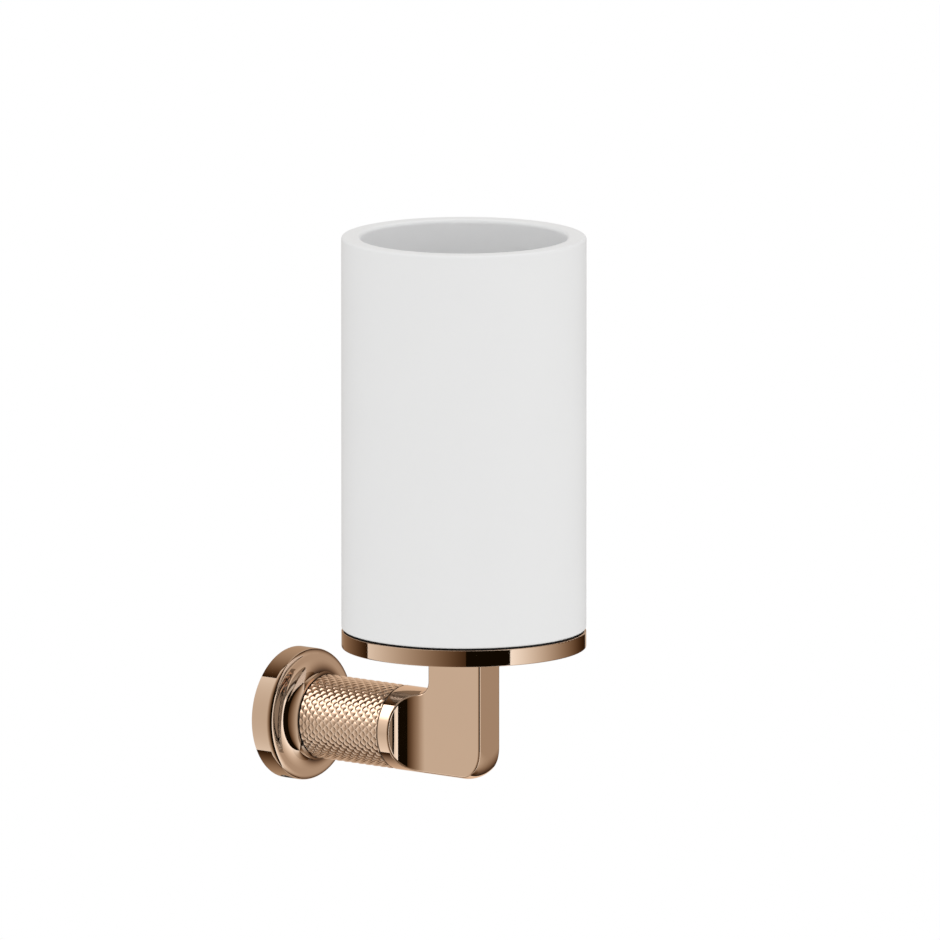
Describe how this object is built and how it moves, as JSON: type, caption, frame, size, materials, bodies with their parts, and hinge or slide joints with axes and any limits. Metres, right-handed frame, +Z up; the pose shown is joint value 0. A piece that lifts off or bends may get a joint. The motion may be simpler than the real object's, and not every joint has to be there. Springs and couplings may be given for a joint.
{
  "type": "wall-mounted tumbler holder",
  "caption": "Wall-mounted toothbrush tumbler holder: white ceramic cup in a shallow metal dish on a knurled arm with a round wall rosette.",
  "frame": {"origin": "centre of the wall face, where the arm's axis meets the wall", "axes": "+Z up, +Y into the wall, the arm reaches out along -Y, +X to the right seen from the front"},
  "size_m": [0.07, 0.0977, 0.1637],
  "materials": {
    "polished_metal": "polished rose-gold plating",
    "knurled_metal": "polished rose-gold plating over a fine diamond knurl",
    "hub_alloy": "plain machined metal",
    "fastener_steel": "plain stainless steel",
    "black_rubber": "matt black soft rubber",
    "cup_ceramic": "satin white ceramic"
  },
  "bodies": {
    "holder": {"wall_hub": "hub_alloy", "rosette": "polished_metal", "grub_screw": "fastener_steel", "tie_stud": "fastener_steel", "lock_nut": "fastener_steel", "spring_washer": "fastener_steel", "flat_washer": "fastener_steel", "sleeve_gasket": "black_rubber", "sleeve": "knurled_metal", "rosette_pin": "fastener_steel", "elbow_pin": "fastener_steel", "elbow": "polished_metal", "dish": "polished_metal", "dish_screws": "fastener_steel"},
    "seat_ring": {"seat_ring": "black_rubber"},
    "cup": {"cup": "cup_ceramic"}
  },
  "joints": [
    {"name": "cup_turn", "type": "hinge", "parent": "holder", "child": "seat_ring", "pos_m": [0, -0.06275, 0.0308], "axis": [0, 0, 1], "continuous": true},
    {"name": "cup_lift", "type": "slide", "parent": "seat_ring", "child": "cup", "axis": [0, 0, 1], "range_m": [0, 0.06]}
  ]
}
